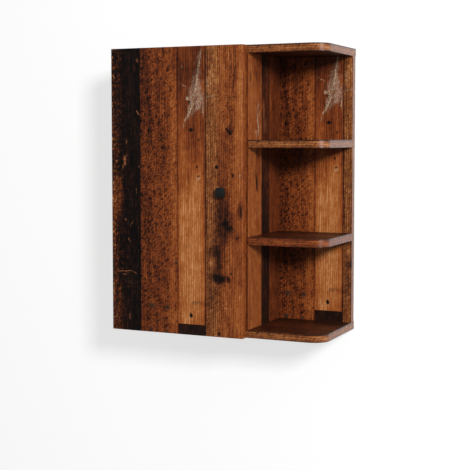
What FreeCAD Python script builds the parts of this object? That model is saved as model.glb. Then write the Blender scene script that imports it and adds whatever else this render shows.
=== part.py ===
"""Hanging wall cabinet: a closed bay behind a full overlay door, and an open bay with two fixed shelves.

Millimetres. +X is right, +Y goes into the wall, +Z is up. The origin lies on the wall plane, on the line
that the two hangers hook on, midway across the width.
"""

import FreeCAD, Part
import os

V = FreeCAD.Vector
UP = V(0, 0, 1)
RIGHTWARD = V(1, 0, 0)
REARWARD = V(0, 1, 0)

# Overall
WIDTH = 476.0
HEIGHT = 600.0
BOARD = 16.0
CARCASS_DEPTH = 193.5
CLOSED_BAY_WIDTH = 278.0
CORNER_RADIUS = 35.0      # outer front corners of the open bay
HANG_DROP = 40.0          # top face down to the hanging line

# Door
DOOR_WIDTH = 306.5
DOOR_GAP = 1.5            # to the carcass front
DOOR_EDGE_RADIUS = 1.0
KNOB_FROM_EDGE = 45.0
KNOB_SIZE = 20.0          # square
KNOB_REACH = 16.0
KNOB_PLATE = 5.5          # thickness at the middle of its domed head
KNOB_CORNER = 2.0
KNOB_DOME = 34.0          # radius of the head's front
KNOB_NECK = ((5.5, 0.0, 1.5), (4.2, 1.5, 11.0))
KNOB_SCREW_RADIUS = 2.0
KNOB_SCREW_REACH = 9.0    # into the knob
BUMPER_RADIUS = 4.0
BUMPER_CLEARANCE = 0.2    # left between a bumper and the carcass
BUMPER_INSET = 30.0       # from the closed bay's floor and ceiling

# Boards
LOWER_SHELF_RISE = 192.5  # underside of the cabinet to the shelf's underside
UPPER_SHELF_RISE = 391.5
LOOSE_SHELF_RISE = 283.0
LOOSE_SHELF_GAP = 1.0     # at each end
LOOSE_SHELF_SETBACK = 12.0
BACK_BOARD_INSET = 3.0    # the open bay's back board, in from the wall
THIN_BACK = 3.0
THIN_BACK_FIT = 0.2       # all round, in its groove
GROOVE_DEPTH = 6.0
RAIL_HEIGHT = 70.0

# Fittings
FIT = 0.05                # radial, round fittings in their holes
SYSTEM_LINE = 37.0        # rows of holes, from the boards' front and rear limits
PIN_PITCH = 32.0
SHELF_PIN_RADIUS = 2.5
CAM_REACH = 24.0
CAM_RADIUS = 7.5
CAM_DEPTH = 12.5
CAM_SLOT = (0.9, 4.5)     # half width and half length of the driver's cross
BOLT_BORE = 4.0
DOWEL_RADIUS = 4.0
DOWEL_REACH = (10.0, 21.0)            # hole depth in the face board, and in the other board's end
PILOT_RADIUS = 2.5
PILOT_DEPTH = 11.0
SCREW_HEAD_RADIUS = 4.7
SCREW_STEM_RADIUS = 3.5
SCREW_REACH = 34.0
SCREW_SOCKET = (2.0, 2.5)             # radius and depth
CAP_SIZE = (6.0, 0.8)                 # radius and thickness
CROSS_SLOT = (4.4, 0.8, 0.8)          # length, width and depth in a screw head
SHELF_SCREW_Y = (-130.0, -52.0)
SHELF_SCREW_X = (135.0, 205.0)
HANGER_X = (-150.0, -10.0)
HANGER_SIZE = (34.0, 60.0, 2.0)
HANGER_WELL = (7.0, 10.0)             # half width and depth of the room behind the keyhole
HANGER_SCREW_INSET = 6.0
HANGER_SCREW_REACH = 12.0
KEYHOLE_RADIUS = 5.0
KEYHOLE_SLOT = 5.0
KEYHOLE_DROP = 12.0       # hanging line down to the entry hole

# Hinges. Depth runs forwards from the carcass front, and reach runs right from the door's left edge.
HINGE_INSET = 90.0        # door's ends to the hinge centres
PIVOT_REACH = 6.0
PIVOT_DEPTH = 11.7
PIN_RADIUS = 1.0
PIN_HALF = 7.3            # half its length
EYE_RADIUS = 2.2
CUP_RADIUS = 17.5
CUP_EDGE = 3.3            # door's edge to the cup's hole
CUP_DEPTH = 13.1
STEEL = 1.6
ARM_TOP = 28.0            # reach of the arm's outer face
ARM_LEG = 18.6            # reach of the part that enters the cup
ARM_HALF = 4.2            # half width of the nose
CHANNEL_HALF = 9.0
WING_TOP = 18.2           # reach of the mounting plate's wings

# Planes
LEFT, RIGHT = -WIDTH / 2, WIDTH / 2
TOP, BOTTOM = HANG_DROP, HANG_DROP - HEIGHT
CEILING, FLOOR = TOP - BOARD, BOTTOM + BOARD
FRONT = -CARCASS_DEPTH
DOOR_BACK = FRONT - DOOR_GAP
DOOR_FRONT = DOOR_BACK - BOARD
DOOR_RIGHT = LEFT + DOOR_WIDTH
SIDE_FACE = LEFT + BOARD
DIVIDER_FACE = SIDE_FACE + CLOSED_BAY_WIDTH
OPEN_BAY_LEFT = DIVIDER_FACE + BOARD
BACK_BOARD_FRONT = -BACK_BOARD_INSET - BOARD
THIN_BACK_REAR = -BOARD - THIN_BACK_FIT
THIN_BACK_FRONT = THIN_BACK_REAR - THIN_BACK
LOWER_SHELF = BOTTOM + LOWER_SHELF_RISE
UPPER_SHELF = BOTTOM + UPPER_SHELF_RISE
LOOSE_SHELF = BOTTOM + LOOSE_SHELF_RISE
SYSTEM_Y = (FRONT + SYSTEM_LINE, THIN_BACK_FRONT - SYSTEM_LINE)
HINGE_Z = {"upper": TOP - HINGE_INSET, "lower": BOTTOM + HINGE_INSET}
KNOB_X, KNOB_Z = DOOR_RIGHT - KNOB_FROM_EDGE, BOTTOM + HEIGHT / 2

holes = {}
groups = {"cam_locks": [], "cam_bolts": [], "dowels": [], "confirmat_screws": [], "screw_caps": []}


def box(x0, x1, y0, y1, z0, z1):
    return Part.makeBox(x1 - x0, y1 - y0, z1 - z0, V(x0, y0, z0))


def rod(radius, start, end):
    run = end - start
    return Part.makeCylinder(radius, run.Length, start, run)


def joined(*shapes):
    return shapes[0].fuse(list(shapes[1:])).removeSplitter() if len(shapes) > 1 else shapes[0]


def stepped_rod(steps, root, along):
    """One round piece from (radius, from, to) steps."""
    return joined(*[rod(radius, root + along * start, root + along * end) for radius, start, end in steps])


def bore(board, radius, start, end):
    """Notes a round hole, which drilled() cuts from the board later."""
    holes.setdefault(board, []).append(rod(radius, start, end))


def drilled(name, shape):
    return shape.cut(holes[name]) if name in holes else shape


def save(name, shape):
    shape.exportStep(f"parts/{name}.step")


def save_group(name, solids):
    save(name, Part.makeCompound(solids))


# Knock-down joints. A tip lies where one board's end meets the other's face, at mid-thickness, and inward
# runs into the board whose end it is.


def cam_joint(face_board, end_board, tip, inward, to_face):
    """A bolt screwed into one board's face, and the cam in the other that pulls the bolt's head."""
    centre = tip + inward * CAM_REACH
    mouth = centre + to_face * (BOARD / 2)
    bore(face_board, PILOT_RADIUS, tip - inward * PILOT_DEPTH, tip)
    bore(end_board, BOLT_BORE, tip, centre)
    bore(end_board, CAM_RADIUS, mouth, mouth - to_face * CAM_DEPTH)
    thread = (PILOT_RADIUS - FIT, -PILOT_DEPTH + 0.2, 0)
    shank, neck, head = (3.4, 0, 17), (1.9, 17, 21), (3.2, 21, CAM_REACH)
    groups["cam_bolts"].append(stepped_rod((thread, shank, neck, head), tip, inward))
    cam = rod(CAM_RADIUS - FIT, mouth, mouth - to_face * (CAM_DEPTH - 0.2))
    cuts = [rod(BOLT_BORE - 0.2, tip, centre + inward * 3)]
    half_width, half_length = CAM_SLOT
    for side in (inward, inward.cross(to_face)):
        cuts.append(rod(half_width, mouth - side * half_length, mouth + side * half_length))
    groups["cam_locks"].append(cam.cut(cuts))


def dowel(face_board, end_board, tip, inward):
    shallow, deep = DOWEL_REACH
    bore(face_board, DOWEL_RADIUS, tip - inward * shallow, tip)
    bore(end_board, DOWEL_RADIUS, tip, tip + inward * deep)
    groups["dowels"].append(stepped_rod(((DOWEL_RADIUS - FIT, 0.5 - shallow, deep - 0.5),), tip, inward))


def confirmat(face_board, end_board, tip, inward, capped=False):
    """A shelf screw whose head lies flush in the far side of the board that it goes through."""
    head = tip - inward * BOARD
    bore(face_board, SCREW_HEAD_RADIUS, head, head + inward * 3.2)
    bore(face_board, SCREW_STEM_RADIUS, head, tip)
    bore(end_board, PILOT_RADIUS, tip, tip + inward * SCREW_REACH)
    steps = (
        (SCREW_HEAD_RADIUS - FIT, 0, 3),
        (SCREW_STEM_RADIUS - FIT, 0, BOARD),
        (PILOT_RADIUS - FIT, BOARD, BOARD + SCREW_REACH - 1),
    )
    socket_radius, socket_depth = SCREW_SOCKET
    socket = rod(socket_radius, head, head + inward * socket_depth)
    groups["confirmat_screws"].append(stepped_rod(steps, head, inward).cut(socket))
    if capped:
        cap_radius, cap_thickness = CAP_SIZE
        groups["screw_caps"].append(rod(cap_radius, head - inward * cap_thickness, head))


def join_upright(name, middle_x, to_face):
    """The side or the divider, between the top and the bottom."""
    for board, z, inward in (("top_panel", CEILING, -UP), ("bottom_panel", FLOOR, UP)):
        for y in (SYSTEM_Y[0], -70.0):
            cam_joint(board, name, V(middle_x, y, z), inward, to_face)
        for y in (SYSTEM_Y[0] + PIN_PITCH, -102.0):
            dowel(board, name, V(middle_x, y, z), inward)


def join_back_board():
    middle_y = BACK_BOARD_FRONT + BOARD / 2
    for board, z, inward in (("top_panel", CEILING, -UP), ("bottom_panel", FLOOR, UP)):
        for x in (115.0, 190.0):
            cam_joint(board, "open_back_board", V(x, middle_y, z), inward, REARWARD)
        for x in (90.0, 215.0):
            dowel(board, "open_back_board", V(x, middle_y, z), inward)
    for z in (-85.0, -260.0, -435.0):
        confirmat("divider_panel", "open_back_board", V(OPEN_BAY_LEFT, middle_y, z), RIGHTWARD)


def join_open_shelf(name, underside):
    z = underside + BOARD / 2
    for y in SHELF_SCREW_Y:
        confirmat("divider_panel", name, V(OPEN_BAY_LEFT, y, z), RIGHTWARD, capped=True)
    for x in SHELF_SCREW_X:
        confirmat("open_back_board", name, V(x, BACK_BOARD_FRONT, z), -REARWARD)


def join_rail():
    ends = (("left_side_panel", SIDE_FACE, RIGHTWARD), ("divider_panel", DIVIDER_FACE, -RIGHTWARD))
    for board, x, inward in ends:
        cam_joint(board, "hanging_rail", V(x, -BOARD / 2, CEILING - 50), inward, REARWARD)
        dowel(board, "hanging_rail", V(x, -BOARD / 2, CEILING - 20), inward)


def shelf_pins():
    """Four pins that carry the loose shelf, and the rows of holes that they go in."""
    level = LOOSE_SHELF - SHELF_PIN_RADIUS
    pins = []
    for board, x, inward in (
        ("left_side_panel", SIDE_FACE, RIGHTWARD),
        ("divider_panel", DIVIDER_FACE, -RIGHTWARD),
    ):
        for y in SYSTEM_Y:
            for step in range(-2, 3):
                mouth = V(x, y, level + step * PIN_PITCH)
                bore(board, SHELF_PIN_RADIUS, mouth, mouth - inward * 10)
            start = V(x, y, level)
            peg = rod(SHELF_PIN_RADIUS - FIT, start - inward * 9, start + inward * 8)
            collar = rod(3.6, start, start + inward * 0.8)
            pins.append(joined(peg, collar))
    save_group("shelf_pins", pins)


# Boards


def rounded_board(x0, y0, y1, z0):
    """A board that reaches the open end, where its front corner is rounded."""
    plate = box(x0, RIGHT, y0, y1, z0, z0 + BOARD)
    corner = [
        edge
        for edge in plate.Edges
        if all(abs(v.X - RIGHT) < 1e-6 and abs(v.Y - y0) < 1e-6 for v in edge.Vertexes)
    ]
    return plate.makeFillet(CORNER_RADIUS, corner)


def carcass_boards():
    reach = GROOVE_DEPTH
    groove = box(
        SIDE_FACE - reach,
        DIVIDER_FACE + reach,
        THIN_BACK_FRONT - THIN_BACK_FIT,
        -BOARD,
        FLOOR - reach,
        CEILING + reach,
    )
    boards = {
        "top_panel": rounded_board(LEFT, FRONT, 0, CEILING),
        "bottom_panel": rounded_board(LEFT, FRONT, 0, BOTTOM),
        "left_side_panel": box(LEFT, SIDE_FACE, FRONT, 0, FLOOR, CEILING),
        "divider_panel": box(DIVIDER_FACE, OPEN_BAY_LEFT, FRONT, 0, FLOOR, CEILING),
    }
    for name, shape in boards.items():
        save(name, drilled(name, shape.cut(groove)))
    gap = THIN_BACK_FIT
    thin_back = box(
        SIDE_FACE - reach + gap,
        DIVIDER_FACE + reach - gap,
        THIN_BACK_FRONT,
        THIN_BACK_REAR,
        FLOOR - reach + gap,
        CEILING + reach - gap,
    )
    save("thin_back_panel", thin_back)


def open_bay_boards():
    back = box(OPEN_BAY_LEFT, RIGHT, BACK_BOARD_FRONT, -BACK_BOARD_INSET, FLOOR, CEILING)
    save("open_back_board", drilled("open_back_board", back))
    for name, underside in (("lower_open_shelf", LOWER_SHELF), ("upper_open_shelf", UPPER_SHELF)):
        shelf = rounded_board(OPEN_BAY_LEFT, FRONT, BACK_BOARD_FRONT, underside)
        save(name, drilled(name, shelf))


def loose_shelf():
    gap = LOOSE_SHELF_GAP
    front = FRONT + LOOSE_SHELF_SETBACK
    shelf = box(
        SIDE_FACE + gap, DIVIDER_FACE - gap, front, THIN_BACK_FRONT - gap, LOOSE_SHELF, LOOSE_SHELF + BOARD
    )
    save("adjustable_shelf", shelf)


# Hanging rail and hangers


def hanger(x, name):
    """A plate let into the rail's rear face. A wall screw's head enters below, then the slot rides on it."""
    width, height, thick = HANGER_SIZE
    middle = -KEYHOLE_DROP
    low, high = middle - height / 2, middle + height / 2
    plate = box(x - width / 2, x + width / 2, -thick, 0, low, high)
    entry, top = V(x, -thick, middle), V(x, -thick, 0)
    through = REARWARD * thick
    slot = joined(
        rod(KEYHOLE_RADIUS, entry, entry + through),
        rod(KEYHOLE_SLOT / 2, top, top + through),
        box(x - KEYHOLE_SLOT / 2, x + KEYHOLE_SLOT / 2, -thick, 0, middle, 0),
    )
    plate = plate.cut(slot)
    pocket = box(x - width / 2 - FIT, x + width / 2 + FIT, -thick, 0, low - FIT, high + FIT)
    well_half, well_depth = HANGER_WELL
    well = box(x - well_half, x + well_half, -well_depth, -thick, middle - well_half, well_half)
    holes.setdefault("hanging_rail", []).extend([pocket, well])
    screws = []
    for z in (low + HANGER_SCREW_INSET, high - HANGER_SCREW_INSET):
        seat, tip = V(x, 0, z), V(x, -HANGER_SCREW_REACH, z)
        sink = Part.makeCone(3.2, 1.6, thick, seat, -REARWARD)
        plate = plate.cut([sink, rod(1.8, V(x, -thick, z), seat)])
        bore("hanging_rail", 1.6, V(x, -thick, z), tip)
        head = Part.makeCone(3.1, 1.5, thick, seat, -REARWARD)
        screws.append(joined(head, rod(1.5, seat, tip + REARWARD * 0.5)))
    save(name, plate)
    return screws


def hanging_rail():
    screws = hanger(HANGER_X[0], "left_hanger_plate") + hanger(HANGER_X[1], "right_hanger_plate")
    save_group("hanger_screws", screws)
    rail = box(SIDE_FACE, DIVIDER_FACE, -BOARD, 0, CEILING - RAIL_HEIGHT, CEILING)
    save("hanging_rail", drilled("hanging_rail", rail))


# Hinges. Each place in a hinge is given by its reach, its depth and its height from the hinge's centre.


def place(reach, depth, z):
    return V(LEFT + reach, FRONT - depth, z)


def hinge_outline(points, half_width, z):
    """A shape drawn across the hinge and as wide as stated along Z."""
    corners = [place(reach, depth, z - half_width) for reach, depth in points]
    face = Part.Face(Part.makePolygon([*corners, corners[0]]))
    return face.extrude(UP * (2 * half_width))


def hinge_cup(z):
    """The cup in the door: a disc with a pocket for the arm, a screwed flange, and holes for the pin."""
    middle = CUP_EDGE + CUP_RADIUS
    floor_depth = DOOR_GAP + CUP_DEPTH
    bore("door_panel", CUP_RADIUS, place(middle, DOOR_GAP, z), place(middle, floor_depth, z))
    body = rod(CUP_RADIUS - FIT, place(middle, DOOR_GAP, z), place(middle, floor_depth - 0.1, z))
    flange = hinge_outline(
        [(18.6, DOOR_GAP), (18.6, 0.3), (36.5, 0.3), (36.5, DOOR_GAP)], 31.0, z
    )
    ears = [edge for edge in flange.Edges if abs(edge.Length - (DOOR_GAP - 0.3)) < 1e-6]
    cup = joined(body, flange.makeFillet(6.0, ears))
    pocket = hinge_outline([(3.5, 14.1), (3.5, -1), (31, -1), (31, 14.1)], 5.5, z)
    dish = hinge_outline([(22, 9.0), (22, -1), (35, -1), (35, 9.0)], 11.0, z)
    pin_hole = rod(PIN_RADIUS + 0.02, pivot(z, -PIN_HALF - 0.1), pivot(z, PIN_HALF + 0.1))
    cup = cup.cut([pocket, dish, pin_hole])
    screws = []
    for offset in (-24.0, 24.0):
        seat = place(27.5, 0.3, z + offset)
        bore("door_panel", 1.5, place(27.5, DOOR_GAP, z + offset), place(27.5, 12.5, z + offset))
        cup = cup.cut(rod(2.2, seat, place(27.5, DOOR_GAP, z + offset)))
        head = rod(3.4, place(27.5, -1.4, z + offset), seat)
        head = head.cut(cross_slot(place(27.5, -1.4, z + offset), -REARWARD))
        screws.append(joined(head, rod(1.45, seat, place(27.5, 12.0, z + offset))))
    return cup, screws


def cross_slot(mouth, into):
    """Two crossed slots in a screw head."""
    length, width, deep = CROSS_SLOT
    axis = V(abs(into.x), abs(into.y), abs(into.z))
    bars = []
    for across in (RIGHTWARD, REARWARD, UP):
        if across.dot(axis) > 0.5:
            continue
        third = RIGHTWARD + REARWARD + UP - across - axis
        size = across * length + third * width + axis * (2 * deep)
        corner = mouth - size * 0.5
        bars.append(Part.makeBox(size.x, size.y, size.z, corner))
    return joined(*bars)


def pivot(z, offset=0.0):
    return place(PIVOT_REACH, PIVOT_DEPTH, z + offset)


def hinge_arm(z):
    """A cranked nose that goes round the door's edge to the pin, and a channel clamped on the plate."""
    half = STEEL / 2
    inner = ARM_TOP - STEEL
    nose = hinge_outline(
        [
            (PIVOT_REACH, PIVOT_DEPTH + half),
            (ARM_LEG + half, PIVOT_DEPTH + half),
            (ARM_LEG + half, -2.5),
            (ARM_TOP, -11.0),
            (ARM_TOP, -18.0),
            (inner, -18.0),
            (inner, -11.6),
            (ARM_LEG - half, -3.2),
            (ARM_LEG - half, PIVOT_DEPTH - half),
            (PIVOT_REACH, PIVOT_DEPTH - half),
        ],
        ARM_HALF,
        z,
    )
    eye = rod(EYE_RADIUS, pivot(z, -ARM_HALF), pivot(z, ARM_HALF))
    web = hinge_outline([(inner, -16), (ARM_TOP, -16), (ARM_TOP, -64), (inner, -64)], CHANNEL_HALF, z)
    side_outline = [(20, -24), (ARM_TOP, -16), (ARM_TOP, -64), (20, -64)]
    walls = [hinge_outline(side_outline, 0.6, z + side * (CHANNEL_HALF - 0.6)) for side in (-1, 1)]
    arm = joined(nose, eye, web, *walls)
    slot = hinge_outline([(25, -46), (29, -46), (29, -54), (25, -54)], 2.2, z)
    return arm.cut([rod(PIN_RADIUS + FIT, pivot(z, -5), pivot(z, 5)), slot])


def hinge_plate(z):
    """The winged plate on the side panel, with the block that the arm's channel sits over."""
    inner = ARM_TOP - STEEL
    wings = hinge_outline([(BOARD, -31), (WING_TOP, -31), (WING_TOP, -43), (BOARD, -43)], 26.0, z)
    block = hinge_outline([(BOARD, -24), (inner, -24), (inner, -62), (BOARD, -62)], 7.4, z)
    plate = joined(wings, block)
    screws = []
    for offset in (-16.0, 16.0):
        seat, end = place(WING_TOP, -SYSTEM_LINE, z + offset), place(BOARD, -SYSTEM_LINE, z + offset)
        tip = end - RIGHTWARD * PILOT_DEPTH
        crown = seat + RIGHTWARD * 2
        bore("left_side_panel", PILOT_RADIUS, end, tip - RIGHTWARD * 0.5)
        plate = plate.cut(rod(3.2, seat, end))
        head = rod(4.6, seat, crown).cut(cross_slot(crown, -RIGHTWARD))
        screws.append(joined(head, rod(PILOT_RADIUS - FIT, seat, tip)))
    return plate, screws


def clamp_screws(z):
    """The screw that clamps the arm to the plate, and the one that sets the overlay, with their holes."""
    screws, screw_holes = [], []
    for depth, stem in ((-50.0, 2.0), (-31.0, 2.4)):
        seat = place(ARM_TOP, depth, z)
        crown = seat + RIGHTWARD * 1.8
        head = rod(3.6, seat, crown).cut(cross_slot(crown, -RIGHTWARD))
        screws.append(joined(head, rod(stem, seat, seat - RIGHTWARD * 8)))
        screw_holes.append(rod(stem + FIT, seat, seat - RIGHTWARD * 8.3))
    return screws, screw_holes


def hinges():
    screws = {"hinge_cup_screws": [], "hinge_plate_screws": [], "hinge_clamp_screws": []}
    pins = []
    for side, z in HINGE_Z.items():
        cup, cup_screws = hinge_cup(z)
        plate, plate_screws = hinge_plate(z)
        clamps, clamp_holes = clamp_screws(z)
        screws["hinge_cup_screws"] += cup_screws
        screws["hinge_plate_screws"] += plate_screws
        screws["hinge_clamp_screws"] += clamps
        pins.append(rod(PIN_RADIUS, pivot(z, -PIN_HALF), pivot(z, PIN_HALF)))
        save(f"{side}_hinge_cup", cup)
        save(f"{side}_hinge_arm", hinge_arm(z).cut(clamp_holes))
        save(f"{side}_hinge_plate", plate.cut(clamp_holes))
    save_group("hinge_pins", pins)
    for name, solids in screws.items():
        save_group(name, solids)


# Door


def knob():
    """A square head with a domed front, on a round neck."""
    root = V(KNOB_X, DOOR_FRONT, KNOB_Z)
    half = KNOB_SIZE / 2
    back, front = DOOR_FRONT - KNOB_REACH + KNOB_PLATE, DOOR_FRONT - KNOB_REACH
    head = box(KNOB_X - half, KNOB_X + half, front, back, KNOB_Z - half, KNOB_Z + half)
    head = head.makeFillet(KNOB_CORNER, [e for e in head.Edges if abs(e.Length - KNOB_PLATE) < 1e-6])
    head = head.common(Part.makeSphere(KNOB_DOME, V(KNOB_X, front + KNOB_DOME, KNOB_Z)))
    solid = joined(head, stepped_rod(KNOB_NECK, root, -REARWARD))
    return solid.cut(rod(KNOB_SCREW_RADIUS, root, root - REARWARD * (KNOB_SCREW_REACH + 1)))


def knob_screw():
    seat = V(KNOB_X, DOOR_BACK, KNOB_Z)
    crown = seat + REARWARD * 2.2
    bore("door_panel", KNOB_SCREW_RADIUS + 0.2, seat - REARWARD * BOARD, seat)
    head = rod(4.0, seat, crown).cut(cross_slot(crown, -REARWARD))
    stem = rod(KNOB_SCREW_RADIUS - FIT, seat, seat - REARWARD * (BOARD + KNOB_SCREW_REACH))
    return joined(head, stem)


def door():
    save("door_knob", knob())
    save("knob_screw", knob_screw())
    slab = box(LEFT, DOOR_RIGHT, DOOR_FRONT, DOOR_BACK, BOTTOM, TOP)
    uprights = [edge for edge in slab.Edges if abs(edge.Length - HEIGHT) < 1e-6]
    save("door_panel", drilled("door_panel", slab.makeFillet(DOOR_EDGE_RADIUS, uprights)))
    middle = DIVIDER_FACE + 6
    bumpers = []
    for z in (CEILING - BUMPER_INSET, FLOOR + BUMPER_INSET):
        seat = V(middle, DOOR_BACK, z)
        bumpers.append(rod(BUMPER_RADIUS, seat, seat + REARWARD * (DOOR_GAP - BUMPER_CLEARANCE)))
    save_group("door_bumpers", bumpers)


def main():
    os.makedirs("parts", exist_ok=True)
    join_upright("left_side_panel", (LEFT + SIDE_FACE) / 2, RIGHTWARD)
    join_upright("divider_panel", (DIVIDER_FACE + OPEN_BAY_LEFT) / 2, -RIGHTWARD)
    join_back_board()
    join_open_shelf("lower_open_shelf", LOWER_SHELF)
    join_open_shelf("upper_open_shelf", UPPER_SHELF)
    join_rail()
    shelf_pins()
    hinges()
    door()
    hanging_rail()
    carcass_boards()
    open_bay_boards()
    loose_shelf()
    for name, solids in groups.items():
        save_group(name, solids)


main()
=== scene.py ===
"""The looks of the hanging wall cabinet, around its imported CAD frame.

Every board carries a printed old-plank decor, except for the wall side of the thin back. The print
is laid out in millimetres on a board: u runs across the planks and v along them.
"""
import math

import bpy
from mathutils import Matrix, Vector


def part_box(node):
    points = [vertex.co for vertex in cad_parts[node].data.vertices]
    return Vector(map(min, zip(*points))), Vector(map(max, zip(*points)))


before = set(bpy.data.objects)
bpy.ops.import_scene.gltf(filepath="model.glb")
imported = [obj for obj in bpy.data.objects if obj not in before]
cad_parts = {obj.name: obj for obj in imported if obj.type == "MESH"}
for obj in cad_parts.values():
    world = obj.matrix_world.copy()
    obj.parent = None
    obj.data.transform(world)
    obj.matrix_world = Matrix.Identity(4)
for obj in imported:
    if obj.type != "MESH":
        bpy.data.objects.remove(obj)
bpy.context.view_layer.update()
scene = bpy.context.scene

MM = 1000.0                     # millimetres in a metre
FAR = 1e9                       # a size that makes one direction not count
BAND_START = 900.0              # keeps the length along an edge band above zero
FACE_ROUGHNESS, BAND_ROUGHNESS, HARDBOARD_ROUGHNESS = 0.44, 0.25, 0.75
BOARD_GLOSS, LEVEL_GLOSS = 0.15, 0.20       # specular level: upright boards, and level ones
DEPTH_SPAN = 212.0              # the prints that run from the front towards the wall reach this far
BAND_SPAN = 16.0                # an edge band's width, the thickness of a board
LIGHT_GAIN = 1.08               # how bright the studio light makes a front-facing white surface


def paint(red, green, blue):
    """An sRGB colour, 0 to 255, as the linear albedo that looks like it under the studio light."""
    def linear(value):
        value /= 255.0
        return value / 12.92 if value <= 0.04045 else ((value + 0.055) / 1.055) ** 2.4
    return tuple(linear(value) / LIGHT_GAIN for value in (red, green, blue)) + (1.0,)


class Tree:
    """Adds nodes to one node tree. Each call makes a node and returns the output asked for."""

    def __init__(self, tree):
        self.nodes, self.links = tree.nodes, tree.links

    def put(self, kind, sockets=None, out=0, **settings):
        node = self.nodes.new(kind)
        for name, value in settings.items():
            setattr(node, name, value)
        for key, value in (sockets or {}).items():
            if isinstance(value, bpy.types.NodeSocket):
                self.links.new(value, node.inputs[key])
            else:
                node.inputs[key].default_value = value
        return node.outputs[out] if node.outputs else None

    def math(self, operation, first, second=0.0, third=0.0):
        return self.put("ShaderNodeMath", {0: first, 1: second, 2: third}, operation=operation)

    def scale(self, vector, factors):
        return self.put("ShaderNodeVectorMath", {0: vector, 1: factors}, operation="MULTIPLY")

    def shift(self, vector, amounts):
        return self.put("ShaderNodeVectorMath", {0: vector, 1: amounts}, operation="ADD")

    def parts(self, vector):
        """The x, y and z of a vector."""
        return self.put("ShaderNodeSeparateXYZ", {0: vector}).node.outputs

    def coordinates(self, kind):
        """The place on the object ("Object"), the direction its surface faces ("Normal"), or in the
        world the direction looked in ("Generated")."""
        return self.put("ShaderNodeTexCoord", out=kind)

    def turn(self, vector, degrees):
        return self.put("ShaderNodeMapping", {"Vector": vector, "Rotation": (0, 0, math.radians(degrees))})

    def noise(self, vector, detail=3.0, rough=0.5, distortion=0.0, out=0):
        return self.put("ShaderNodeTexNoise", {"Vector": vector, "Scale": 1.0, "Detail": detail,
                                               "Roughness": rough, "Distortion": distortion}, out)

    def step(self, value, low, high, to_low=0.0, to_high=1.0):
        return self.put("ShaderNodeMapRange", {0: value, 1: low, 2: high, 3: to_low, 4: to_high},
                        interpolation_type="SMOOTHSTEP")

    def mix(self, factor, first, second):
        """A blend of two colours."""
        return self.put("ShaderNodeMix", {0: factor, 6: first, 7: second}, 2, data_type="RGBA")

    def mix_values(self, factor, first, second):
        """A blend of two numbers."""
        return self.put("ShaderNodeMix", {0: factor, 2: first, 3: second})

    def ramp(self, value, stops):
        """A colour ramp. A stop is (place, colour), with places from 0 to 1."""
        colour = self.put("ShaderNodeValToRGB", {0: value})
        elements = colour.node.color_ramp.elements
        while len(elements) < len(stops):
            elements.new(0.5)
        for element, (place, shade) in zip(elements, stops):
            element.position, element.color = place, shade
        return colour

    def add_all(self, base, terms):
        """base plus weight * (value - 0.5) for every (value, weight)."""
        for value, weight in terms:
            centred = self.math("SUBTRACT", value, 0.5)
            base = self.math("MULTIPLY_ADD", centred, weight, base)
        return base

    def spots(self, place, ellipses, soft=0.7):
        """The sum of an amount inside each soft ellipse (u, v, half_u, half_v, degrees, amount).
        The running sum travels as the z of the place, so each ellipse is finished before the next
        one starts: side by side, they would need more room than a shader has."""
        state = self.scale(place, (1, 1, 0))
        for u, v, half_u, half_v, degrees, amount in ellipses:
            local = self.put("ShaderNodeMapping",
                             {"Vector": state, "Location": (u, v, 0), "Scale": (half_u, half_v, FAR),
                              "Rotation": (0, 0, math.radians(degrees))}, vector_type="TEXTURE")
            reach = self.put("ShaderNodeVectorMath", {0: local}, 1, operation="LENGTH")
            inside = self.step(reach, 1.0 + soft / 2, 1.0 - soft / 2, 0.0, amount)
            state = self.shift(state, self.put("ShaderNodeCombineXYZ", {2: inside}))
        return self.parts(state)[2]


# ---------------------------------------------------------------- the printed plank decor

# tone to colour, from near-black to pale: the red planks, and the yellower tan ones
RED_RAMP = [(0.00, paint(8, 5, 4)), (0.10, paint(22, 13, 10)), (0.20, paint(42, 21, 14)),
            (0.35, paint(78, 35, 17)), (0.50, paint(108, 50, 23)), (0.62, paint(134, 66, 29)),
            (0.75, paint(156, 86, 40)), (0.88, paint(174, 106, 54)), (1.00, paint(202, 142, 92))]
TAN_RAMP = [(0.00, paint(8, 6, 5)), (0.10, paint(26, 16, 11)), (0.20, paint(46, 26, 16)),
            (0.35, paint(76, 40, 21)), (0.50, paint(106, 58, 30)), (0.62, paint(132, 75, 38)),
            (0.75, paint(154, 94, 50)), (0.88, paint(176, 118, 70)), (1.00, paint(204, 154, 108))]

# across the door: (u, tone, dark fleck, light fleck, ring strength)
DOOR_PROFILE = [
    (0, .22, .3, 1.0, .6), (4, .22, .3, .95, .6), (9, .15, .3, .7, .6), (22, .12, .3, .50, .5),
    (32, .08, .2, .30, .4), (46, .09, .2, .16, .5), (52, .09, .2, .14, .5), (66, .07, .2, .16, .4),
    (69.6, .05, .1, .2, .2), (70.4, .47, .9, .2, .3), (80, .50, 1, .2, .3), (104, .55, 1, .2, .3),
    (107, .57, .9, .1, .3), (130, .59, .85, .1, .4), (146, .67, .6, .1, .5), (156.5, .68, .5, .1, .5),
    (158.6, .34, .1, 0, .2), (160, .74, .15, .1, .5), (172, .91, .10, .1, .6), (196, .90, .10, .1, .6),
    (216, .84, .10, .1, .6), (221, .70, .1, 0, .3), (221.7, .26, 0, 0, .2), (222.5, .24, 0, 0, .2),
    (223.6, .68, .3, .3, 1.0), (238, .69, .35, .3, 1.0), (262, .67, .3, .2, 1.0),
    (280, .66, .3, .2, .8), (296, .69, .2, .1, .6), (312, .68, .2, .1, .5)]
DOOR_SPAN = 312.0
TAN_FROM = 223.0                # the fourth plank starts here, yellower
TAN_FADE = (238.0, 262.0)       # over this stretch it turns redder again

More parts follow.
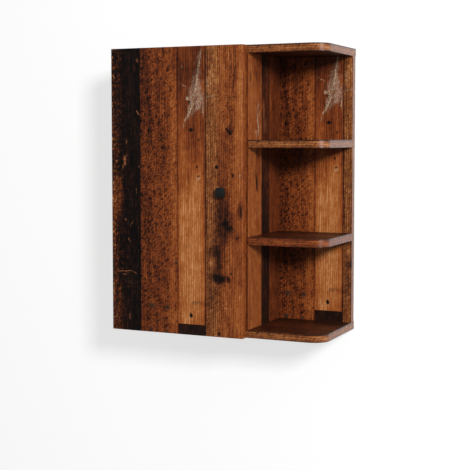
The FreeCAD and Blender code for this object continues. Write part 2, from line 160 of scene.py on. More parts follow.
# broad lighter and darker areas of the door's print: (u, v, half_u, half_v, degrees, change of tone)
DOOR_TONES = [
    (12, 290, 15, 46, 0, .32), (8, 410, 10, 45, 0, .12), (8, 50, 12, 60, 0, .20), (8, 200, 10, 60, 0, .14),
    (30, 30, 16, 40, 0, .06), (26, 190, 14, 60, 0, -.04), (49, 430, 7, 190, 0, .04),
    (84, 480, 12, 70, 0, -.10), (112, 525, 9, 50, 0, -.05), (150, 400, 10, 130, 0, .10),
    (148, 70, 10, 60, 0, .05), (92, 250, 20, 40, 0, -.05), (86, 580, 14, 22, 0, -.04),
    (120, 90, 40, 80, 0, -.02), (150, 110, 14, 120, 0, .02),
    (190, 572, 34, 46, 0, -.34), (172, 510, 14, 60, 0, -.20),
    (184, 460, 26, 80, 0, -.20), (206, 470, 18, 110, 0, -.16), (180, 372, 24, 60, 0, -.12),
    (206, 390, 22, 70, 0, -.04), (218, 330, 7, 120, 0, -.04), (174, 318, 16, 30, 0, -.08),
    (212, 24, 20, 26, 0, -.12), (205, 66, 20, 9, 0, -.10), (180, 120, 18, 120, 0, .02),
    (262, 222, 20, 72, 0, -.24), (274, 236, 22, 30, 0, -.10),
    (240, 178, 12, 12, 0, -.22), (250, 150, 8, 34, 0, -.22), (257, 121, 14, 9, 6, -.44),
    (276, 120, 4, 7, 10, -.34), (238, 126, 9, 7, 0, -.20), (238, 92, 14, 40, 0, -.12),
    (278, 226, 9, 5, 20, -.24), (268, 236, 7, 6, 0, -.26), (303, 263, 7, 18, 0, -.26),
    (294, 206, 5, 5, 30, -.28), (276, 170, 11, 36, 0, .14), (230, 300, 8, 60, 0, -.05),
    (262, 330, 12, 80, 0, -.10), (296, 150, 14, 60, 0, -.06), (262, 40, 18, 40, 0, .03),
    (250, 545, 26, 80, 0, .05), (304, 450, 12, 150, 0, .10), (300, 50, 14, 60, 0, .08),
    (276, 424, 9, 16, 0, -.14)]

# small marks on the door's print: (u, v, half_u, half_v, degrees, strength), by colour
CHIP, CREAM, HOLE, STAIN, RUST = (paint(168, 104, 66), paint(196, 172, 140), paint(14, 10, 9),
                                  paint(46, 40, 32), paint(70, 28, 16))
DOOR_MARKS = {
    CHIP: [(32, 364, 2.4, 10, 8, .8), (29, 352, 1.6, 9, -25, .6), (35, 372, 1.2, 9, -12, .5),
           (12, 363, 2.0, 2.2, 0, .6), (63.6, 573, 2.4, 5, 20, .35), (64.7, 464, 1.3, 6, 35, .7),
           (66, 351, 2.0, 2.0, 0, .6), (33, 238, 1.4, 4.5, 10, .7), (42.4, 194, 1.0, 6, 20, .7),
           (42, 30, 1.6, 8, 0, .5), (24, 127, 9, 1.4, 3, .7), (40, 127.5, 9, 1.0, 0, .7),
           (56, 124, 7, 1.0, -20, .6), (30, 120, 5, 1.2, 0, .45), (165, 426, 3.2, 2.8, 0, .4),
           (36, 403, 1, 7, 0, .5), (47, 228, 1.0, 8, -30, .4), (60, 300, 1.0, 5, 10, .4)],
    CREAM: [(168.5, 558, 1.4, 4, 0, .35), (181, 493, 4, 4.4, 30, .75), (190, 491, 3, 5, 0, .6),
            (206.5, 327, 4, 4, 0, .35), (300, 333, 1.8, 4.3, 0, .5), (176, 449, 1.6, 9, -25, .55),
            (187, 466, 2, 15, -28, .7), (217, 470, 1.4, 13, 0, .5), (228, 522, 2, 14, 0, .3),
            (172, 437, 1.2, 6, -20, .4), (198, 505, 1.6, 20, -14, .6), (205, 548, 1.3, 34, -6, .6),
            (210, 572, 1.2, 26, -8, .5), (193, 478, 2, 9, -35, .6), (172, 520, 9, 1, -28, .4),
            (235, 497, 12, 1.2, 14, .35)],
    HOLE: [(186.3, 484.5, 3, 4, 0, .8), (189.2, 428, 3.8, 4.2, 0, 1), (196, 431, 1.4, 6, 0, .7),
           (203, 352, 1.6, 3, 0, .9), (206.5, 332.6, 2.8, 2.0, 0, .9), (207, 406, 2.4, 4, 0, .7),
           (277.4, 422.5, 4.4, 5, 20, 1), (272, 428, 5, 3, -30, .7), (247.4, 351.5, 4, 4.6, 0, 1),
           (284.2, 335, 3, 4.3, 0, .95), (230.6, 444, 2, 5.5, 15, .6), (188.7, 41.4, 3.6, 4.6, 15, 1),
           (254, 7, 3, 4.8, 0, .9), (281.5, 133, 2, 3.2, 0, .8), (89, 221, 2.2, 2.2, 0, .7),
           (117, 262, 3, 2.8, 0, .6), (95, 239, 2, 7, -45, .6), (136, 556.6, 4, 3, 20, .6),
           (150, 556, 2.6, 3, 0, .5), (100, 571, 4, 2, 0, .6), (86, 583, 9, 2.4, -20, .55),
           (68, 150, 2, 12, 12, .8), (76, 152, 1.4, 9, -25, .7), (257, 119, 4.5, 5, 0, .9),
           (248, 180, 1.4, 10, 0, .7), (241, 180, 1.2, 9, 0, .6), (235, 178, 1.2, 9, 0, .6),
           (250.5, 160, 1.2, 16, 0, .7), (302, 262, 1.6, 12, 8, .7), (268, 228, 3, 3.4, 0, .7),
           (276, 222, 2.4, 5, 30, .6), (273, 231, 2, 3, 0, .6), (136, 95, 1.4, 9, 5, .6)],
    STAIN: [(97, 56, 5, 5, 0, .85), (133.6, 55, 4, 5, 15, .9), (93, 4, 5, 4, 0, .7),
            (131, 2.4, 4.4, 3, 0, .7), (154, 151, 2.4, 7, 0, .75), (179, 184, 2.4, 4.2, 0, .5),
            (202, 69, 12, 3.4, 8, .4), (226, 500, 5, 5, 0, .4), (205, 560, 4, 16, 0, .35)],
    RUST: [(216, 560, 2, 30, 0, .6), (196, 595, 20, 8, 0, .4), (222, 40, 2, 20, 0, .5)],
}

# fine dark lines of the door's print: ((u, v), (u, v), half width, strength)
DOOR_LINES = [
    ((75, 401), (92, 404), .9, .8), ((92, 404), (104, 414), .8, .8), ((104, 414), (118, 421), .7, .6),
    ((277, 597), (281, 558), .9, .8), ((281, 558), (276.5, 515), 1.0, .8),
    ((289, 597), (290, 560), 1.5, .7), ((290, 560), (287, 530), 1.5, .7), ((287, 530), (282, 499), 1.3, .7),
    ((261, 493), (296, 494), .9, .7), ((270, 489), (292, 487), .7, .6), ((264, 498), (284, 496), .7, .5),
    ((270, 478), (278, 462), 1.0, .8), ((278, 462), (281, 446), 1.0, .8), ((281, 446), (278, 426), 1.0, .8),
    ((166, 531), (186, 520), .7, .4), ((95, 300), (96, 560), .5, .45), ((120, 330), (117, 372), .6, .4),
    ((225, 215), (224, 290), 1.2, .8), ((240, 196), (240, 168), .8, .8), ((235, 196), (235, 170), .7, .7),
    ((246, 200), (245, 150), .8, .7)]
LINE_INK = paint(44, 20, 12)

# where worn pale paint is left on the third plank, as (u, v, half_u, half_v, degrees, amount)
WORN_AREAS = [(207, 562, 9, 46, -6, .6), (199, 514, 18, 27, -20, .85), (205, 486, 19, 22, 0, .95),
              (187, 464, 9, 20, -28, .9)]
SAWN_AREA = [(32, 92, 30, 42, 0, 1)]        # near the foot of the dark plank
THIRD_PLANK = (158.8, 222.0)                # its left and right edges
FILLER_TOP = (23.0, 21.6)                   # the piece below it fades in from one v to the other
FILLER_GAP = [(190, 21.6, 60, 1.1, 0, 1)]   # the dark line between the two
RING_ANGLE = math.tau / 4.7                 # growth rings 4.7 mm apart, as an angle per millimetre
RING_DRIFT = 26.0                           # how far the rings wander, in radians
EDGE_WANDER = 0.16                          # how much of the marks' raggedness a plank's edge has


def place_on_board(tree, u_axis, v_axis, u_start, v_start):
    """The vector (u, v, 0) in millimetres. An axis is 0, 1 or 2, and a start is where u or v is 0."""
    xyz = tree.parts(tree.coordinates("Object"))
    u = tree.math("MULTIPLY_ADD", xyz[u_axis], MM, -u_start * MM)
    v = tree.math("MULTIPLY_ADD", xyz[v_axis], MM, -v_start * MM)
    return tree.put("ShaderNodeCombineXYZ", {0: u, 1: v})


def grain_noises(tree, place):
    """What every printed plank shares: fibres, rings, broad bands, mottling, flecks and specks.
    The scales are features per millimetre, across and along the plank."""
    across = tree.parts(place)[0]
    drift = tree.noise(tree.scale(place, (0.020, 0.0034, 1)), 3, 0.5)
    ring = tree.math("MULTIPLY_ADD", drift, RING_DRIFT, tree.math("MULTIPLY", across, RING_ANGLE))
    return {
        "fibre": tree.noise(tree.scale(place, (0.50, 0.020, 1)), 4, 0.72),
        "ring": tree.math("SINE", ring),
        "band": tree.noise(tree.scale(place, (0.085, 0.006, 1)), 3),
        "mottle": tree.noise(tree.scale(place, (0.07, 0.04, 1)), 6, 0.72),
        "fleck": tree.noise(tree.scale(tree.turn(place, 42), (0.27, 0.13, 1)), 4, 0.70, 1.0),
        "speck": tree.noise(tree.scale(tree.turn(place, -30), (0.36, 0.24, 1)), 3, 0.6, 0.6),
    }


def profile_ramp(tree, place, profile, span):
    """Tone, dark fleck, light fleck and ring strength by u, as the four channels of one ramp."""
    ramp = tree.ramp(tree.math("DIVIDE", tree.parts(place)[0], span),
                     [(u / span, channels) for u, *channels in profile])
    channels = tree.put("ShaderNodeSeparateColor", {0: ramp}).node.outputs
    return channels[0], channels[1], channels[2], ramp.node.outputs[1]


def shaded_tone(tree, noises, tone, dark, light, ring_strength):
    """The tone of the print, with its fibres, rings, flecks and specks."""
    tone = tree.add_all(tone, [(noises["mottle"], 0.55), (noises["band"], 0.34), (noises["fibre"], 1.0)])
    rings = tree.math("MULTIPLY", tree.step(noises["ring"], -0.1, 0.9), ring_strength)
    rings = tree.math("MULTIPLY", rings, tree.step(noises["fibre"], 0.36, 0.62))
    tone = tree.math("MULTIPLY_ADD", rings, -0.36, tone)
    darker = tree.math("MULTIPLY", tree.step(noises["fleck"], 0.52, 0.575), dark)
    tone = tree.math("MULTIPLY_ADD", darker, -0.42, tone)
    specks = tree.math("MULTIPLY", tree.step(noises["speck"], 0.60, 0.65), tree.math("ADD", dark, 0.15))
    tone = tree.math("MULTIPLY_ADD", specks, -0.40, tone)
    pale = tree.math("MULTIPLY", tree.step(noises["fleck"], 0.47, 0.42), light)
    pale = tree.math("MULTIPLY", pale, tree.step(noises["speck"], 0.47, 0.56))
    return tree.math("MULTIPLY_ADD", pale, 0.80, tone)


def new_group(name):
    """A node group from a place to a colour, tone and relief; its Tree, and the place inside it."""
    group = bpy.data.node_groups.new(name, "ShaderNodeTree")
    group.interface.new_socket("Place", in_out="INPUT", socket_type="NodeSocketVector")
    for output in ("Color", "Tone", "Relief"):
        kind = "NodeSocketColor" if output == "Color" else "NodeSocketFloat"
        group.interface.new_socket(output, in_out="OUTPUT", socket_type=kind)
    tree = Tree(group)
    return group, tree, tree.put("NodeGroupInput")


def close_group(tree, *values):
    """Ends a node group with these outputs."""
    end = tree.nodes.new("NodeGroupOutput")
    for socket, value in zip(end.inputs, values):
        tree.links.new(value, socket)


def as_ellipse(start, end, half, amount):
    """A thin straight mark from start to end, as an ellipse a little longer than the mark, because
    its ends fade."""
    (u0, v0), (u1, v1) = start, end
    length = math.hypot(u1 - u0, v1 - v0)
    slant = math.degrees(math.atan2(v1 - v0, u1 - u0))
    return (u0 + u1) / 2, (v0 + v1) / 2, length / 1.8, half, slant, amount


def paint_patch(tree, place, noises, colour):
    """The worn remains of pale paint on the third plank."""
    total = tree.math("MINIMUM", tree.spots(place, WORN_AREAS, 1.4), 1.0)
    grain = tree.noise(tree.scale(tree.turn(place, 24), (0.22, 0.09, 1)), 6, 0.84)
    worn = tree.step(tree.math("MULTIPLY_ADD", total, 0.27, grain), 0.64, 0.84)
    worn = tree.math("MULTIPLY", worn, tree.step(noises["speck"], 0.40, 0.56, 0.30, 0.85))
    pale = tree.mix(tree.step(noises["mottle"], 0.35, 0.65), paint(124, 98, 76), paint(178, 160, 140))
    return tree.mix(worn, colour, pale)


def saw_lines(tree, place, colour):
    """Fine level scratches near the foot of the dark plank."""
    rows = tree.noise(tree.scale(place, (0.035, 0.62, 1)), 3, 0.7)
    area = tree.spots(place, SAWN_AREA)
    return tree.mix(tree.math("MULTIPLY", tree.step(rows, 0.58, 0.74), area), colour, paint(104, 72, 54))


def plank_end(tree, place, noises, colour):
    """The third plank stops short of the foot, and a darker piece fills the gap."""
    uv = tree.parts(place)
    inside = tree.math("MULTIPLY", tree.math("GREATER_THAN", uv[0], THIRD_PLANK[0]),
                       tree.math("LESS_THAN", uv[0], THIRD_PLANK[1]))
    below = tree.math("MULTIPLY", inside, tree.step(uv[1], *FILLER_TOP))
    filler = tree.ramp(tree.add_all(0.16, [(noises["mottle"], 0.5), (noises["fibre"], 0.3)]), RED_RAMP)
    colour = tree.mix(below, colour, filler)
    gap = tree.math("MULTIPLY", inside, tree.spots(place, FILLER_GAP, 0.5))
    return tree.mix(tree.math("MULTIPLY", gap, 0.85), colour, paint(14, 8, 6))


def wander(tree, place):
    """Shifts of a few millimetres that make the outlines of marks ragged."""
    noise = tree.noise(tree.scale(place, (0.16, 0.16, 1)), 3, 0.6, out=1)
    return tree.scale(tree.shift(noise, (-0.5, -0.5, -0.5)), (9.0, 9.0, 0.0))


def add_marks(tree, place, noises, colour, ink, marks):
    """Marks of one colour. The pale ones are broken up, like flaking paint."""
    mask = tree.spots(place, marks)
    if ink in (CHIP, CREAM):
        mask = tree.math("MULTIPLY", mask, tree.step(noises["speck"], 0.40, 0.56, 0.15, 1.0))
    return tree.mix(mask, colour, ink)


def door_print():
    """The door's decor: four planks, from near-black to tan, with their marks."""
    group, tree, place = new_group("door_print")
    noises = grain_noises(tree, place)
    jitter = wander(tree, place)
    shaken = tree.shift(place, jitter)
    edge = tree.shift(place, tree.scale(jitter, (EDGE_WANDER, 0.0, 0.0)))
    tone, dark, light, ring_strength = profile_ramp(tree, edge, DOOR_PROFILE, DOOR_SPAN)
    tone = tree.math("ADD", tone, tree.spots(shaken, DOOR_TONES, 1.2))
    tone = shaded_tone(tree, noises, tone, dark, light, ring_strength)
    across = tree.parts(place)[0]
    is_tan = tree.math("MULTIPLY", tree.math("GREATER_THAN", across, TAN_FROM),
                       tree.step(across, *TAN_FADE, 1.0, 0.15))
    colour = tree.mix(is_tan, tree.ramp(tone, RED_RAMP), tree.ramp(tone, TAN_RAMP))
    colour = paint_patch(tree, place, noises, colour)
    colour = saw_lines(tree, place, colour)
    for ink, marks in DOOR_MARKS.items():
        colour = add_marks(tree, shaken, noises, colour, ink, marks)
    strokes = [as_ellipse(*stroke) for stroke in DOOR_LINES]
    colour = tree.mix(tree.spots(shaken, strokes, 0.9), colour, LINE_INK)
    colour = plank_end(tree, place, noises, colour)
    close_group(tree, colour, tone, noises["fibre"])
    return group


def plain_print(name, profile, span, ramp_stops, tones_and_shade=(), marks=()):
    """A decor with its own planks, without the door's marks. Its broad lighter and darker areas can hold
    painted shade, as the side print's do.
    """
    group, tree, place = new_group(name)
    noises = grain_noises(tree, place)
    tone, dark, light, ring_strength = profile_ramp(tree, place, profile, span)
    tone = tree.math("ADD", tone, tree.spots(place, tones_and_shade, 1.2))
    tone = shaded_tone(tree, noises, tone, dark, light, ring_strength)
    colour = tree.ramp(tone, ramp_stops)
    shaken = tree.shift(place, wander(tree, place)) if marks else place
    for ink, places in marks:
        colour = add_marks(tree, shaken, noises, colour, ink, places)
    close_group(tree, colour, tone, noises["fibre"])
    return group


# from the front edge of the divider towards the wall: an orange plank, a dark one and a brown one
SIDE_PROFILE = [(0, .74, .15, .1, .7), (20, .77, .15, .1, .7), (44, .76, .2, .1, .7),
                (71, .76, .2, .1, .6), (72.4, .36, 0, 0, .2), (74, .21, .2, .1, .5),
                (94, .19, .3, .1, .5), (113, .22, .3, .1, .5), (114.4, .12, 0, 0, .2),
                (116, .50, .2, .1, .6), (140, .52, .3, .1, .6), (160, .50, .3, .1, .5),
                (212, .50, .3, .1, .5)]
# lighter and darker areas of the divider's and left side's print, as (u, v, half_u, half_v, degrees, change
# of tone), v from the board's lower end; the two darker areas just under the top board (v 540) and just
# under the upper shelf (v 340) are painted shade
SIDE_TONES_AND_SHADE = [(98, 430, 26, 130, 0, .20), (40, 80, 30, 60, 0, -.03), (54, 340, 12, 40, 0, -.12),
              (56, 540, 22, 40, 0, -.16), (58, 440, 12, 40, 0, -.10)]
SIDE_MARKS = [(HOLE, [(14, 520, 1.8, 13, 0, .9), (46, 520, 1.8, 14, 4, .8), (40, 505, 1.2, 6, 0, .6),
                      (47, 300, 4.4, 20, 4, .95), (42, 322, 1.8, 12, -8, .8), (12, 34, 1.8, 18, 0, .9),
                      (30, 60, 1.0, 12, 0, .5), (36, 250, 1.0, 10, 0, .4), (20, 410, .9, 30, 0, .4)]),
              (CREAM, [(50, 436, 3.4, 16, 8, .7), (56, 414, 2.8, 12, -6, .7), (45, 404, 2.4, 9, 12, .6),
                       (54, 462, 3.2, 9, -10, .6), (60, 444, 2.2, 8, -14, .5), (48, 386, 2, 8, 6, .5)]),
              (CHIP, [(84, 452, 5, 20, 5, .45), (92, 420, 4, 16, -8, .45), (30, 470, 1.6, 8, 0, .4)])]

# across a shelf, top or bottom board, from its front edge towards the wall
LEVEL_PROFILE = [(0, .40, .3, .1, 1), (40, .34, .5, .1, 1), (61, .36, .4, .1, 1), (62.4, .02, 0, 0, .2),
                 (64.4, .02, 0, 0, .2), (65.6, .46, .3, .1, 1), (120, .36, .5, .1, 1),
                 (132, .40, .4, .1, 1), (133.4, .02, 0, 0, .2), (135.2, .02, 0, 0, .2),
                 (136.6, .30, .6, .1, 1), (212, .32, .5, .1, 1)]
# across the thickness of an edge band
BAND_PROFILE = [(0, .44, .3, .2, .6), (2, .64, .5, .2, .6), (7, .72, .5, .2, .7), (12, .68, .5, .2, .7),
                (13.4, .58, .3, .1, .6), (14.4, .30, .2, .1, .4), (16, .24, .2, .1, .4)]
RED_BAND_PROFILE = [(0, .46, .2, .1, .5), (3, .58, .4, .1, .6), (9, .62, .4, .1, .6), (13, .56, .3, .1, .6),
                    (14.6, .42, .2, .1, .4), (16, .34, .2, .1, .4)]
DOOR_BAND_PROFILE = [(0, .70, .3, .1, .5), (4, .72, .3, .1, .6), (12, .70, .3, .1, .6),
                     (16, .64, .2, .1, .4)]

BACK_PRINT_START = -0.0041      # where the open back board's cut of the planks would start, in x
# how far along the decor each level board was cut, in metres, so that no two look the same
LEVEL_BOARDS = {"top_panel": 0.31, "bottom_panel": 0.82, "upper_open_shelf": 1.37,
                "lower_open_shelf": 1.74, "adjustable_shelf": 2.15}
RED_EDGED = ("lower_open_shelf",)


# ---------------------------------------------------------------- materials

def new_material(name):
    """An empty node material and its Tree."""
    material = bpy.data.materials.new(name)
    material.use_nodes = True
    material.node_tree.nodes.clear()
    return material, Tree(material.node_tree)


def finish_surface(tree, colour, roughness, normal, **fixed):
    """Ends a material with a Principled shader. fixed holds the numbers that are the same all over."""
    sockets = {"Base Color": colour, "Roughness": roughness, "Normal": normal}
    sockets.update({name.replace("_", " "): value for name, value in fixed.items()})
    shader = tree.put("ShaderNodeBsdfPrincipled", sockets)
    tree.put("ShaderNodeOutputMaterial", {0: shader})


def bump(tree, height, distance, strength):
    """A surface direction tilted by a relief that is at most distance metres high."""
    return tree.put("ShaderNodeBump", {"Height": height, "Distance": distance, "Strength": strength})


def use_group(tree, group, place):
    """The colour, tone and relief that a node group gives at a place."""
    node = tree.put("ShaderNodeGroup", {}, node_tree=group).node
    tree.links.new(place, node.inputs[0])
    return node.outputs


def facing(tree, axis):
    """1 where the surface faces along an axis of the object, either way."""
    normal = tree.parts(tree.coordinates("Normal"))[axis]
    return tree.step(tree.math("ABSOLUTE", normal), 0.70, 0.80)


def band_place(tree, face_axis, low):
    """On an edge band: across the board's thickness from its low side, and along the band, which
    runs on round the corners."""
    xyz = tree.parts(tree.coordinates("Object"))
    first, second = [xyz[axis] for axis in range(3) if axis != face_axis]
    u = tree.math("MULTIPLY_ADD", xyz[face_axis], MM, -low * MM)
    v = tree.math("MULTIPLY_ADD", tree.math("ADD", first, second), MM, BAND_START)
    return tree.put("ShaderNodeCombineXYZ", {0: u, 1: v})


def board_material(name, print_group, band_group, face_axis, u_axis, v_axis, starts,
                   gloss=BOARD_GLOSS):
    """Decor on the two faces across face_axis, and edge band on the rest. starts is the corner that
    the print and the band are measured from."""
    material, tree = new_material(name)
    place = place_on_board(tree, u_axis, v_axis, starts[u_axis], starts[v_axis])
    face = use_group(tree, print_group, place)
    edge = use_group(tree, band_group, band_place(tree, face_axis, starts[face_axis]))
    is_face = facing(tree, face_axis)
    colour = tree.mix(is_face, edge[0], face[0])
    tone = tree.mix_values(is_face, edge[1], face[1])
    relief = tree.mix_values(is_face, edge[2], face[2])
    roughness = tree.step(is_face, 0.0, 1.0, BAND_ROUGHNESS, FACE_ROUGHNESS)
    roughness = tree.math("MULTIPLY_ADD", tone, -0.08, roughness)
    roughness = tree.math("MULTIPLY_ADD", relief, 0.12, roughness)
    finish_surface(tree, colour, roughness, bump(tree, relief, 0.00012, 0.6), Specular_IOR_Level=gloss)
    return material


def thin_back_material(print_group, starts):
    """Decor towards the closed bay, and the bare brown hardboard towards the wall."""
    material, tree = new_material("thin_back_decor")
    place = place_on_board(tree, 0, 2, starts[0], starts[2])
    face = use_group(tree, print_group, place)
    felt = tree.noise(tree.scale(place, (0.8, 0.8, 1)), 5, 0.75)
    cloud = tree.noise(tree.scale(place, (0.03, 0.03, 1)), 3, 0.6)
    blend = tree.add_all(0.5, [(felt, 1.4), (cloud, 0.8)])
    hardboard = tree.mix(blend, paint(92, 62, 40), paint(136, 98, 66))
    is_rear = tree.step(tree.parts(tree.coordinates("Normal"))[1], 0.2, 0.8)
    colour = tree.mix(is_rear, face[0], hardboard)
    relief = tree.mix_values(is_rear, face[2], felt)
    roughness = tree.step(is_rear, 0.0, 1.0, FACE_ROUGHNESS, HARDBOARD_ROUGHNESS)
    finish_surface(tree, colour, roughness, bump(tree, relief, 0.00015, 0.7),
                   Specular_IOR_Level=BOARD_GLOSS)
    return material


def place_on_object(tree):
    """The place on the object, in millimetres."""
    return tree.scale(tree.coordinates("Object"), (MM, MM, MM))


def dress(material, *names):
    """Gives CAD nodes a material, in every slot."""
    for name in names:
        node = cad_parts[name]
        for slot in node.material_slots:
            slot.material = material


def dress_boards():
    """The decor of every board."""
    planks = door_print()
    side = plain_print("side_print_and_shade", SIDE_PROFILE, DEPTH_SPAN, RED_RAMP, SIDE_TONES_AND_SHADE, SIDE_MARKS)
    level = plain_print("level_print", LEVEL_PROFILE, DEPTH_SPAN, RED_RAMP)
    band = plain_print("band_print", BAND_PROFILE, BAND_SPAN, TAN_RAMP)
    red_band = plain_print("red_band_print", RED_BAND_PROFILE, BAND_SPAN, RED_RAMP)
    door_band = plain_print("door_band_print", DOOR_BAND_PROFILE, BAND_SPAN, RED_RAMP)

    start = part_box("door_panel")[0]
    dress(board_material("door_decor", planks, door_band, 1, 0, 2, start), "door_panel")
    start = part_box("open_back_board")[0]
    starts = (BACK_PRINT_START, start[1], start[2])
    dress(board_material("open_back_decor", planks, band, 1, 0, 2, starts), "open_back_board")
    dress(thin_back_material(planks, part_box("thin_back_panel")[0]), "thin_back_panel")
    for name in ("divider_panel", "left_side_panel"):
        dress(board_material(name + "_decor", side, red_band, 0, 1, 2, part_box(name)[0]), name)
    for name, shift in LEVEL_BOARDS.items():
        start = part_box(name)[0]
        edge = red_band if name in RED_EDGED else band
        starts = (start[0] - shift, start[1], start[2])
        dress(board_material(name + "_decor", level, edge, 2, 1, 0, starts, LEVEL_GLOSS), name)
    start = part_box("hanging_rail")[0]
    dress(board_material("rail_decor", level, band, 1, 2, 0, start), "hanging_rail")


def metal_material(name, colour, rough, brush):
    """Plated steel: small changes of gloss, faint drawing marks and a slight tarnish."""
    material, tree = new_material(name)
    place = place_on_object(tree)
    marks = tree.noise(tree.scale(place, brush), 4, 0.6)
    tarnish = tree.noise(tree.scale(place, (0.12, 0.12, 0.12)), 5, 0.65)
    duller = tuple(0.72 * value for value in colour[:3]) + (1.0,)
    shade = tree.mix(tree.step(tarnish, 0.35, 0.75), colour, duller)
    roughness = tree.math("MULTIPLY_ADD", marks, 0.22, rough)
    finish_surface(tree, shade, roughness, bump(tree, marks, 0.00002, 0.5), Metallic=1.0)
    return material


def beech_material():
    """Ribbed beech: straight pale grain with short brown rays."""
    material, tree = new_material("beech_wood")
    place = place_on_object(tree)
    grain = tree.noise(tree.scale(place, (0.08, 0.9, 0.9)), 4, 0.6)
    rays = tree.step(tree.noise(tree.scale(place, (0.5, 2.6, 2.6)), 2), 0.60, 0.70)
    colour = tree.mix(grain, paint(186, 138, 92), paint(222, 184, 138))
    colour = tree.mix(tree.math("MULTIPLY", rays, 0.6), colour, paint(140, 92, 58))
    roughness = tree.math("MULTIPLY_ADD", grain, 0.2, 0.55)
    finish_surface(tree, colour, roughness, bump(tree, grain, 0.0001, 0.5))
    return material


def plastic_material(name, colour, worn, rough, grain_size=2.2, **fixed):
    """Moulded or powder-coated: a fine orange peel, and slightly worn patches."""
    material, tree = new_material(name)
    place = place_on_object(tree)
    peel = tree.noise(tree.scale(place, (grain_size,) * 3), 2, 0.5)
    wear = tree.noise(tree.scale(place, (0.25, 0.25, 0.25)), 5, 0.7)
    shade = tree.mix(tree.step(wear, 0.45, 0.75), colour, worn)
    roughness = tree.math("MULTIPLY_ADD", wear, 0.16, rough)
    finish_surface(tree, shade, roughness, bump(tree, peel, 0.00004, 0.5), **fixed)
    return material


def dress_fittings():
    """The hardware, the dowels, the caps, the knob and the bumpers."""
    nickel = metal_material("nickel_steel", (0.62, 0.60, 0.57, 1), 0.20, (0.15, 1.6, 1.6))
    zinc = metal_material("zinc_plate", (0.56, 0.57, 0.58, 1), 0.30, (0.9, 0.9, 0.9))
    dress(nickel, "upper_hinge_cup", "lower_hinge_cup", "upper_hinge_arm", "lower_hinge_arm",
          "upper_hinge_plate", "lower_hinge_plate", "hinge_pins", "hinge_cup_screws",
          "hinge_plate_screws", "hinge_clamp_screws")
    dress(zinc, "left_hanger_plate", "right_hanger_plate", "hanger_screws", "cam_locks",
          "cam_bolts", "confirmat_screws", "knob_screw", "shelf_pins")
    dress(beech_material(), "dowels")
    dress(plastic_material("brown_caps", paint(112, 64, 38), paint(126, 76, 48), 0.40), "screw_caps")
    dress(plastic_material("black_powder_coat", (0.003, 0.003, 0.0035, 1), (0.006, 0.006, 0.007, 1),
                           0.38, 1.4, Specular_IOR_Level=0.5), "door_knob")
    dress(plastic_material("clear_rubber", (0.62, 0.62, 0.60, 1), (0.54, 0.54, 0.51, 1), 0.25,
                           Transmission_Weight=0.6), "door_bumpers")


# ---------------------------------------------------------------- studio

STAGE_SIZE = 9.0
WALL_GAP = 0.001                # behind the wall plane of the frame, y = 0
FLOOR_LEVEL = -1.60
STAGE_GLOW, STAGE_ALBEDO = 0.67, 0.37
# a light: the direction towards it, its distance, size and watts, and the point it aims at
KEY_LIGHT = ((0.79, -1.0, 0.37), 4.0, 0.62, 150.0, (0.0, -0.1, -0.26))
EDGE_LIGHT = ((1.0, -0.42, 0.10), 3.0, 1.5, 65.0, (0.2, -0.1, -0.2))

CAMERA_PLACE = (0.96423, -2.24314, -0.14626)
CAMERA_TILT, CAMERA_TURN = 3.901, 24.193            # degrees below level, and to the left
SENSOR_WIDTH, FOCAL_LENGTH, FRAME_SHIFT = 36.0, 83.859, -0.05


def stage_plane(name, location, turn):
    """A large plane that only the camera sees, pale, and clear when seen from behind."""
    bpy.ops.mesh.primitive_plane_add(size=STAGE_SIZE, location=location, rotation=turn)
    plane = bpy.context.object
    plane.name = name
    material, tree = new_material(name + "_paint")
    matte = tree.put("ShaderNodeBsdfDiffuse", {"Color": (STAGE_ALBEDO,) * 3 + (1.0,)})
    glow = tree.put("ShaderNodeEmission", {"Color": (1, 1, 1, 1), "Strength": STAGE_GLOW})
    front = tree.put("ShaderNodeAddShader", {0: matte, 1: glow})
    clear = tree.put("ShaderNodeBsdfTransparent")
    behind = tree.put("ShaderNodeNewGeometry", out="Backfacing")
    surface = tree.put("ShaderNodeMixShader", {0: behind, 1: front, 2: clear})
    tree.put("ShaderNodeOutputMaterial", {0: surface})
    plane.data.materials.append(material)
    for ray in ("diffuse", "glossy", "transmission", "volume_scatter", "shadow"):
        setattr(plane, "visible_" + ray, False)


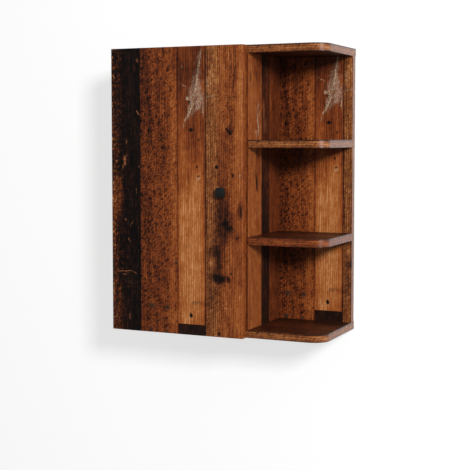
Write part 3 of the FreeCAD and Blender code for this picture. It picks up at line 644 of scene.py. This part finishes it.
def soft_light(name, direction, distance, size, watts, target, makes):
    """A square studio light along a direction from the target, hidden from the camera. It makes
    either the "diffuse" light or the "glossy" highlights."""
    aim = Vector(direction).normalized()
    data = bpy.data.lights.new(name, "AREA")
    data.size, data.energy = size, watts
    light = bpy.data.objects.new(name, data)
    light.location = Vector(target) + aim * distance
    light.rotation_euler = aim.to_track_quat("Z", "Y").to_euler()
    light.visible_camera = False
    light.visible_diffuse, light.visible_glossy = makes == "diffuse", makes == "glossy"
    scene.collection.objects.link(light)


def studio_world():
    """A white room: bright where the wall is, softer in front, and dim below. The camera sees white."""
    world = bpy.data.worlds.new("studio")
    world.use_nodes = True
    world.node_tree.nodes.clear()
    tree = Tree(world.node_tree)
    way = tree.parts(tree.coordinates("Generated"))
    level = tree.step(way[1], -0.15, 0.35, 0.34, 1.4)
    level = tree.math("MULTIPLY", level, tree.step(way[2], -0.7, 0.1, 0.30, 1.0))
    seen = tree.put("ShaderNodeLightPath", out="Is Camera Ray")
    level = tree.math("MAXIMUM", level, seen)
    light = tree.put("ShaderNodeBackground", {0: (1, 1, 1, 1), 1: level})
    tree.put("ShaderNodeOutputWorld", {0: light})
    scene.world = world


def build_studio():
    """The wall, the floor, the lights and the room's own light."""
    stage_plane("wall", (0, WALL_GAP, 0), (math.radians(90), 0, 0))
    stage_plane("floor", (0, 0, FLOOR_LEVEL), (0, 0, 0))
    soft_light("key_light", *KEY_LIGHT, "diffuse")
    soft_light("edge_light", *EDGE_LIGHT, "glossy")
    studio_world()
    scene.view_settings.view_transform = "Standard"


def build_camera():
    """The photograph's viewing angle: slightly right of the cabinet, level with its upper half."""
    data = bpy.data.cameras.new("camera")
    data.sensor_width, data.lens, data.shift_y = SENSOR_WIDTH, FOCAL_LENGTH, FRAME_SHIFT
    camera = bpy.data.objects.new("camera", data)
    camera.location = CAMERA_PLACE
    camera.rotation_euler = (math.radians(90 - CAMERA_TILT), 0, math.radians(CAMERA_TURN))
    scene.collection.objects.link(camera)
    scene.camera = camera


dress_boards()
dress_fittings()
build_studio()
build_camera()
